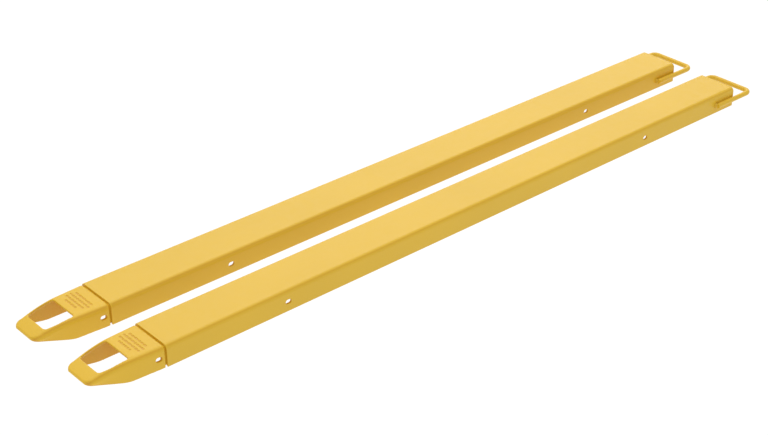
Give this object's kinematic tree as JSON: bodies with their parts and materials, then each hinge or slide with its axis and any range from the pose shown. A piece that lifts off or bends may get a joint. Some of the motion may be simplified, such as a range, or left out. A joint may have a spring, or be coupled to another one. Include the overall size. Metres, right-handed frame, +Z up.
{
  "type": "pallet fork extension pair",
  "caption": "Pair of long slip-on forklift fork extensions: open-bottomed steel sleeves with hollow tapered tips and round-bar heel loops.",
  "frame": {"origin": "floor level, in the middle of the outer box of the two extensions lying side by side", "axes": "+Z up, +Y along the forks from the tapered tips to the heel loops, +X to the operator's left fork"},
  "size_m": [0.4194, 2.5274, 0.0635],
  "materials": {
    "sleeve_paint": "satin golden-yellow powder coat on folded steel plate",
    "casting_paint": "satin golden-yellow powder coat on a slightly rougher cast surface",
    "bar_paint": "satin golden-yellow powder coat on round bar",
    "bead_paint": "golden-yellow powder coat over rippled weld beads"
  },
  "bodies": {
    "right_extension": {"right_sleeve": "sleeve_paint", "right_tip_casting": "casting_paint", "right_tip_weld": "bead_paint", "right_heel_loop": "bar_paint", "right_loop_weld_plus_x_upper": "bead_paint", "right_loop_weld_plus_x_lower": "bead_paint", "right_loop_weld_minus_x_upper": "bead_paint", "right_loop_weld_minus_x_lower": "bead_paint"},
    "left_extension": {"left_sleeve": "sleeve_paint", "left_tip_casting": "casting_paint", "left_tip_weld": "bead_paint", "left_heel_loop": "bar_paint", "left_loop_weld_plus_x_upper": "bead_paint", "left_loop_weld_plus_x_lower": "bead_paint", "left_loop_weld_minus_x_upper": "bead_paint", "left_loop_weld_minus_x_lower": "bead_paint"}
  },
  "joints": [
    {"name": "fork_spread", "type": "slide", "parent": "right_extension", "child": "left_extension", "axis": [1, 0, 0], "range_m": [-0.07, 0.5]}
  ]
}
